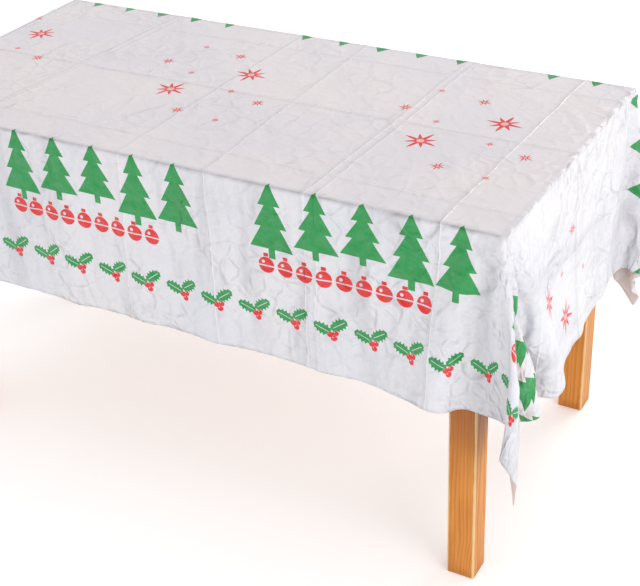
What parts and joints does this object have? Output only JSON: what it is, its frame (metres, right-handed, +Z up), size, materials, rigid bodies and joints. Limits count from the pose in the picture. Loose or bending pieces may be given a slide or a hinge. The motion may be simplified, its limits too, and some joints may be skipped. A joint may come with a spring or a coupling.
{
  "type": "table with a tablecloth",
  "caption": "Rectangular wooden table on square legs under a loose printed film tablecloth that hangs down all round and gathers in a cone fold at each corner.",
  "frame": {"origin": "on the floor, under the middle of the table", "axes": "+X along the table's length, +Y to its back, +Z up"},
  "size_m": [1.473, 0.763, 0.7513],
  "materials": {
    "cloth_film": "thin glossy white film with a printed pattern, creased and crinkled",
    "leg_pine": "honey-coloured pine, satin varnish",
    "frame_pine": "planed pine, thin varnish",
    "block_wood": "unfinished hardwood",
    "zinc_steel": "zinc-plated"
  },
  "bodies": {
    "table": {"leg_front_left": "leg_pine", "leg_front_right": "leg_pine", "leg_back_left": "leg_pine", "leg_back_right": "leg_pine", "top_board_1": "frame_pine", "top_board_2": "frame_pine", "top_board_3": "frame_pine", "top_board_4": "frame_pine", "top_board_5": "frame_pine", "apron_front": "frame_pine", "apron_back": "frame_pine", "apron_left": "frame_pine", "apron_right": "frame_pine", "centre_rail": "frame_pine", "corner_block_front_left": "block_wood", "corner_block_front_right": "block_wood", "corner_block_back_left": "block_wood", "corner_block_back_right": "block_wood", "rail_dowels": "block_wood", "top_buttons": "block_wood", "hanger_bolts": "zinc_steel", "bolt_washers": "zinc_steel", "bolt_nuts": "zinc_steel", "block_screws": "zinc_steel", "button_screws": "zinc_steel"},
    "cloth": {"tablecloth": "cloth_film"}
  },
  "joints": [
    {"name": "cloth_lift", "type": "slide", "parent": "table", "child": "cloth", "axis": [0, 0, 1], "range_m": [0, 0.56]}
  ]
}
